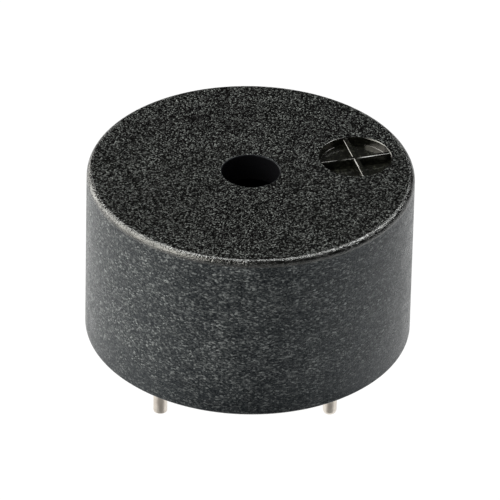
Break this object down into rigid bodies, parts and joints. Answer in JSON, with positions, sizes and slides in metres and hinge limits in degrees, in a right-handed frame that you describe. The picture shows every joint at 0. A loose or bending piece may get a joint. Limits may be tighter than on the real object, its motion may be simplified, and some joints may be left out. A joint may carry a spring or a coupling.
{
  "type": "piezo buzzer",
  "caption": "Round black moulded piezo buzzer with a central sound hole, a recessed polarity mark beside the rim, and tinned pins under its resin-sealed base.",
  "frame": {"origin": "middle of the seat plane, which is the lower rim of the case, midway between the pins", "axes": "+Z out of the sounding face, +X from the negative pin to the positive pin and the polarity mark"},
  "size_m": [0.0138, 0.0138, 0.0131],
  "materials": {
    "case_plastic": "spark-eroded black, glass-filled",
    "bond_silicone": "satin",
    "plate_brass": "bright rolled",
    "piezo_ceramic": "fired matt",
    "electrode_silver": "fired silver",
    "board_laminate": "glass-epoxy laminate",
    "copper": "bare copper",
    "transistor_epoxy": "moulded",
    "lead_frame": "tinned",
    "chip_ceramic": "glazed black",
    "chip_caps": "tinned",
    "solder": "bright",
    "lead_wire": "enamelled copper",
    "pin_tinned": "tinned, satin",
    "resin_epoxy": "poured, semi-gloss"
  },
  "bodies": {
    "root": {"housing": "case_plastic", "diaphragm_bond": "bond_silicone", "brass_plate": "plate_brass", "piezo_ceramic": "piezo_ceramic", "main_electrode": "electrode_silver", "feedback_electrode": "electrode_silver", "circuit_board": "board_laminate", "copper_tracks": "copper", "transistor_body": "transistor_epoxy", "transistor_legs": "lead_frame", "collector_resistor": "chip_ceramic", "bias_resistor": "chip_ceramic", "feedback_resistor": "chip_ceramic", "resistor_end_caps": "chip_caps", "main_lead": "lead_wire", "feedback_lead": "lead_wire", "plate_lead": "lead_wire", "component_solder": "solder", "lead_solder": "solder", "pin_solder": "solder", "pin_positive": "pin_tinned", "pin_negative": "pin_tinned", "potting_resin": "resin_epoxy"}
  },
  "joints": []
}
